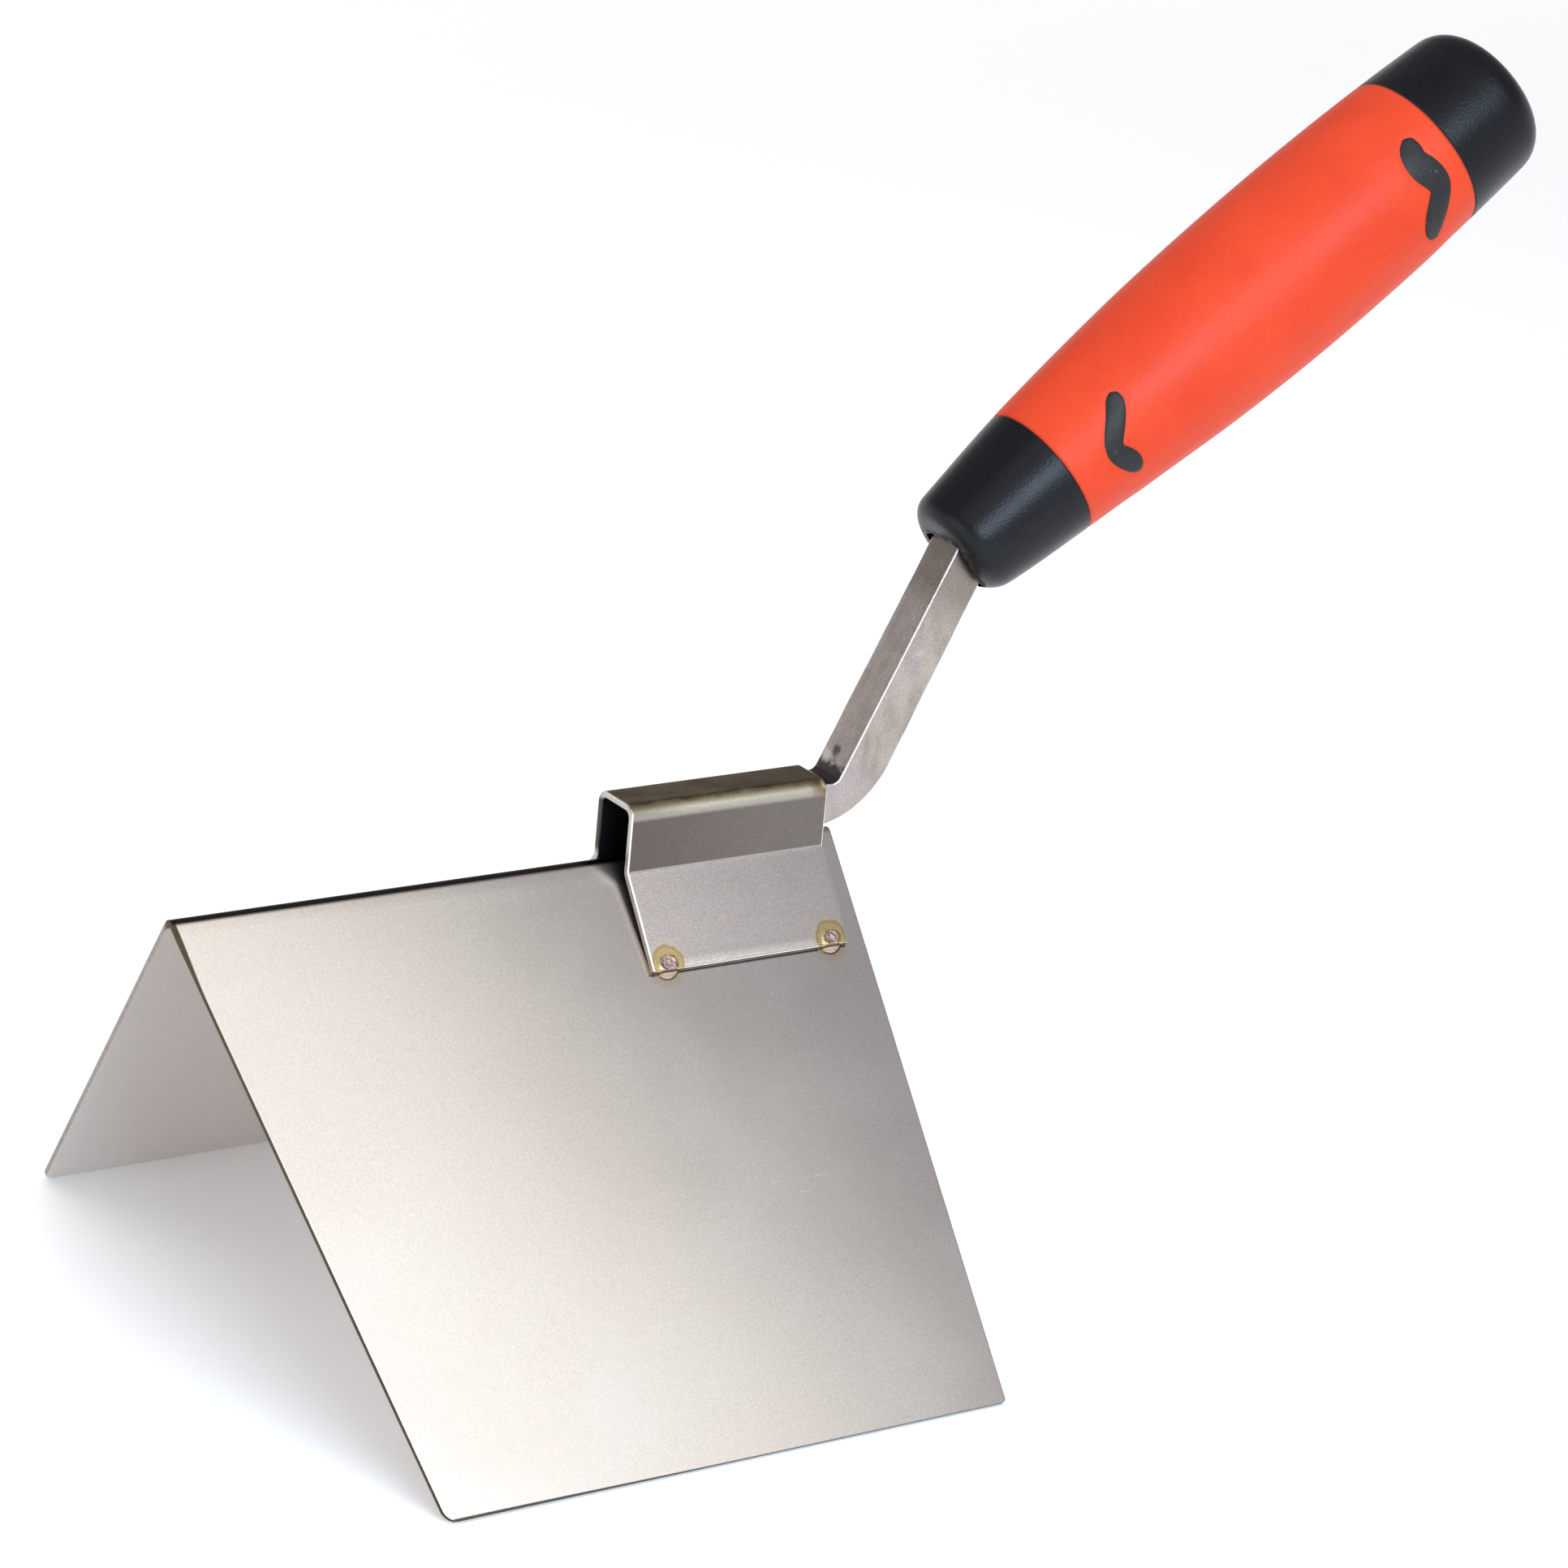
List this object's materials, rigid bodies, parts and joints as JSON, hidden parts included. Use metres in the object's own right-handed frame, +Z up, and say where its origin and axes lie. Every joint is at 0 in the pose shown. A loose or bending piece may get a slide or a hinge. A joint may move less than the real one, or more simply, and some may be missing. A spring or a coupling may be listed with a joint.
{
  "type": "outside corner trowel",
  "caption": "Outside corner plastering trowel: folded stainless V blade, spot-welded ridge bracket, cranked square bar and a soft-sleeved barrel handle.",
  "frame": {"origin": "centre of the footprint, on the plane that the blade's two lower edges stand on", "axes": "+Z up; X along the ridge, +X towards the handle; the tool is symmetric about the plane Y = 0"},
  "size_m": [0.2614, 0.1418, 0.2107],
  "materials": {
    "blade_steel": "mill-finished stainless sheet, satin, cut edges dark",
    "bracket_steel": "satin stainless sheet, heat-tinted brown along the top",
    "bar_steel": "mill-scaled steel bar, grey-brown, bright corners",
    "weld_metal": "as-welded, dark",
    "spot_metal": "as-welded, straw and pink heat colours",
    "core_plastic": "black moulded plastic, fine satin texture",
    "sleeve_rubber": "orange-red soft-touch rubber, satin",
    "bond": "black set adhesive, uneven"
  },
  "bodies": {
    "root": {"blade": "blade_steel", "bracket": "bracket_steel", "shank": "bar_steel", "heel_weld": "weld_metal", "spot_weld_near_toe": "spot_metal", "spot_weld_near_heel": "spot_metal", "spot_weld_far_toe": "spot_metal", "spot_weld_far_heel": "spot_metal", "handle_core": "core_plastic", "grip_sleeve": "sleeve_rubber", "tang_bond": "bond"}
  },
  "joints": []
}
